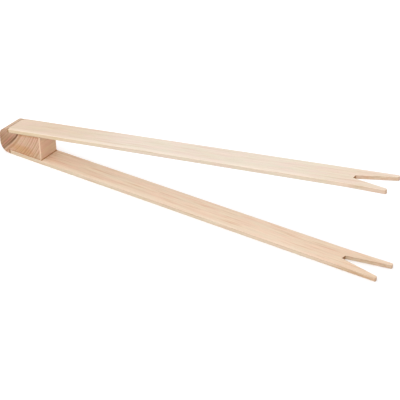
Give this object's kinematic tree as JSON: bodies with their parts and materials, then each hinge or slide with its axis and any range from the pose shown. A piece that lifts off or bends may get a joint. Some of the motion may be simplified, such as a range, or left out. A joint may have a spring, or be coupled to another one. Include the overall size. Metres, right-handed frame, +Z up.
{
  "type": "wooden print tongs",
  "caption": "Wooden tongs: two spring arms with forked tips glued into a wedge-shaped head block; squeezing the arms closes the tips on a print.",
  "frame": {"origin": "on the outer face of the lower arm, mid-width, directly under the front face of the head block", "axes": "+X along the lower arm towards its tip, +Y across the arms, +Z up from the surface the tongs lie on"},
  "size_m": [0.3004, 0.0208, 0.0662],
  "materials": {
    "beech_arm": "bare planed beech, straight grain along the arm",
    "beech_head": "bare sanded beech, growth rings showing on the side faces",
    "dried_glue": "dried amber wood glue"
  },
  "bodies": {
    "head": {"head_block": "beech_head", "upper_arm_root": "beech_arm", "upper_glue_line": "dried_glue", "lower_arm_root": "beech_arm", "lower_glue_line": "dried_glue"},
    "upper_blade": {"upper_arm_blade": "beech_arm"},
    "lower_blade": {"lower_arm_blade": "beech_arm"}
  },
  "joints": [
    {"name": "upper_arm_flex", "type": "hinge", "parent": "head", "child": "upper_blade", "pos_m": [0.03882, 0, 0.02955], "axis": [0, 1, 0], "range_deg": [0, 7.75], "stiffness_Nm_per_rad": 3.5},
    {"name": "lower_arm_flex", "type": "hinge", "parent": "head", "child": "lower_blade", "pos_m": [0.03953, 0, 0.0014], "axis": [0, -1, 0], "range_deg": [0, 7.75], "stiffness_Nm_per_rad": 3.5}
  ]
}
